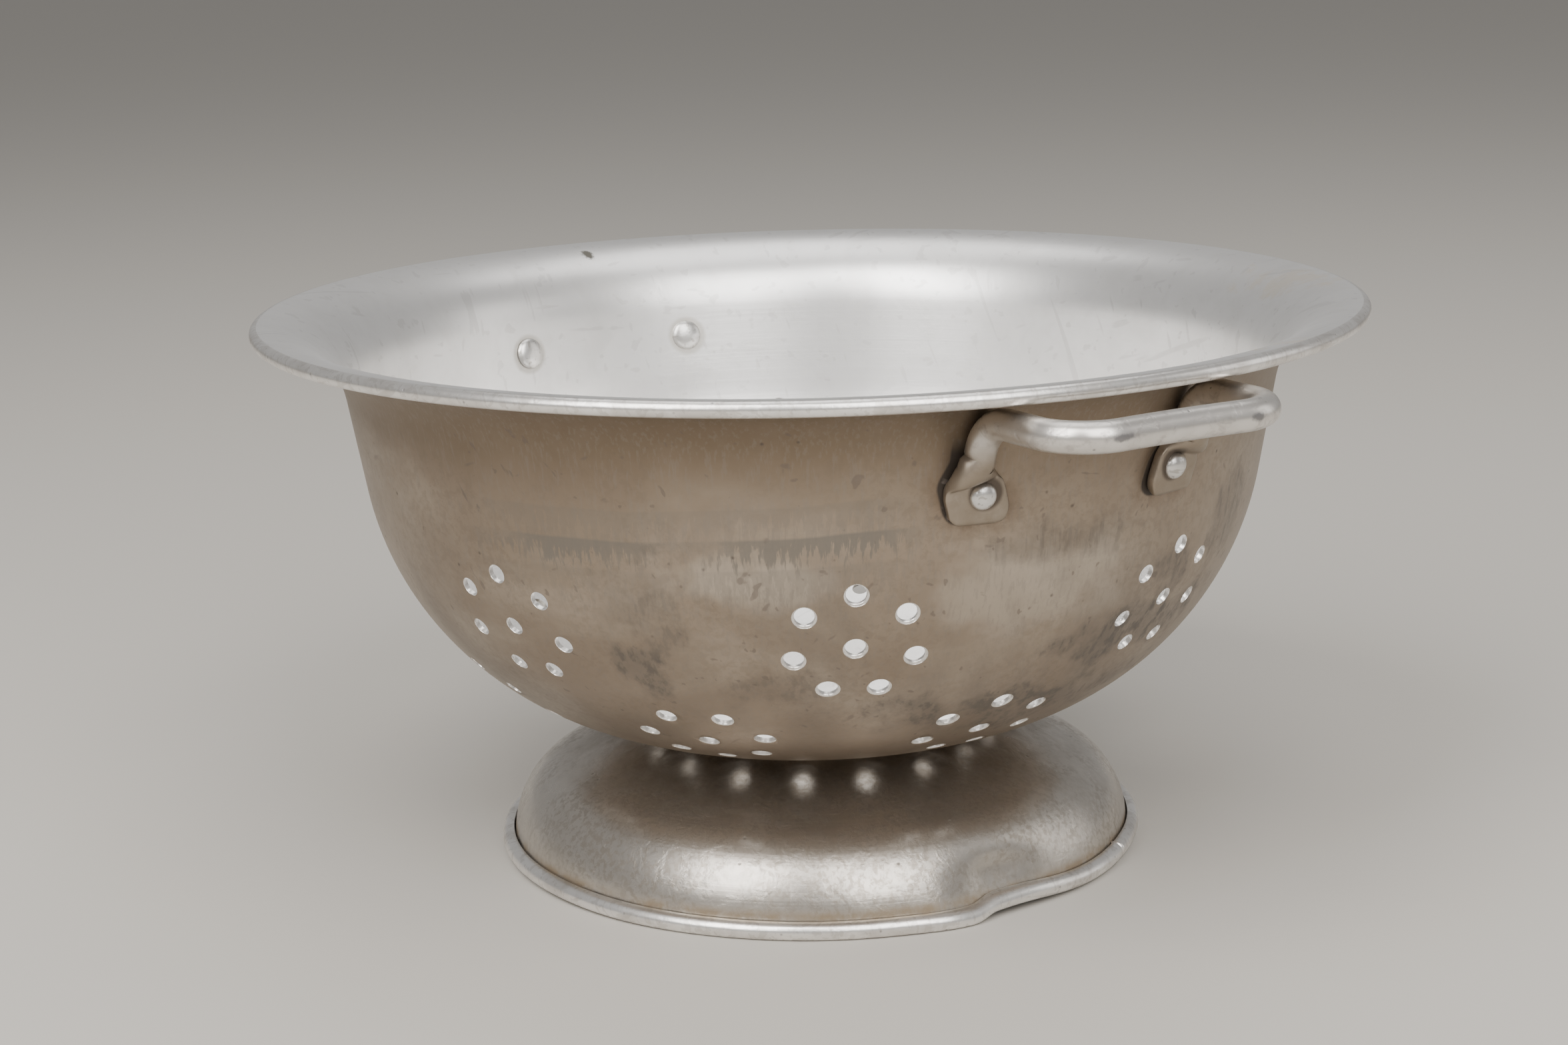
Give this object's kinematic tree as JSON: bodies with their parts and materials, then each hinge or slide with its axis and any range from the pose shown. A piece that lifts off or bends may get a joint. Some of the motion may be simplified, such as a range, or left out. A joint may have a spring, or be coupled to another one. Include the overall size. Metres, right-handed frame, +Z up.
{
  "type": "footed colander",
  "caption": "Round footed colander in spun sheet metal: perforated bowl with a flared rolled rim, domed foot ring and riveted loop handles.",
  "frame": {"origin": "centre of the circle on which the foot stands, at the standing surface", "axes": "+Z up along the bowl's axis, +X towards handle_right, +Y completes a right-handed frame"},
  "size_m": [0.3202, 0.29, 0.1454],
  "materials": {
    "bowl_sheet": "satin, worn, warm grey patina outside, brighter inside",
    "foot_sheet": "satin, worn, cloudy",
    "handle_rod": "satin, rubbed by hands",
    "rivet": "dull bright"
  },
  "bodies": {
    "root": {"bowl": "bowl_sheet", "foot_ring": "foot_sheet", "handle_right": "handle_rod", "handle_left": "handle_rod", "handle_rivet_right_front": "rivet", "handle_rivet_right_back": "rivet", "handle_rivet_left_front": "rivet", "handle_rivet_left_back": "rivet", "foot_rivet_1": "rivet", "foot_rivet_2": "rivet", "foot_rivet_3": "rivet", "foot_rivet_4": "rivet"}
  },
  "joints": []
}
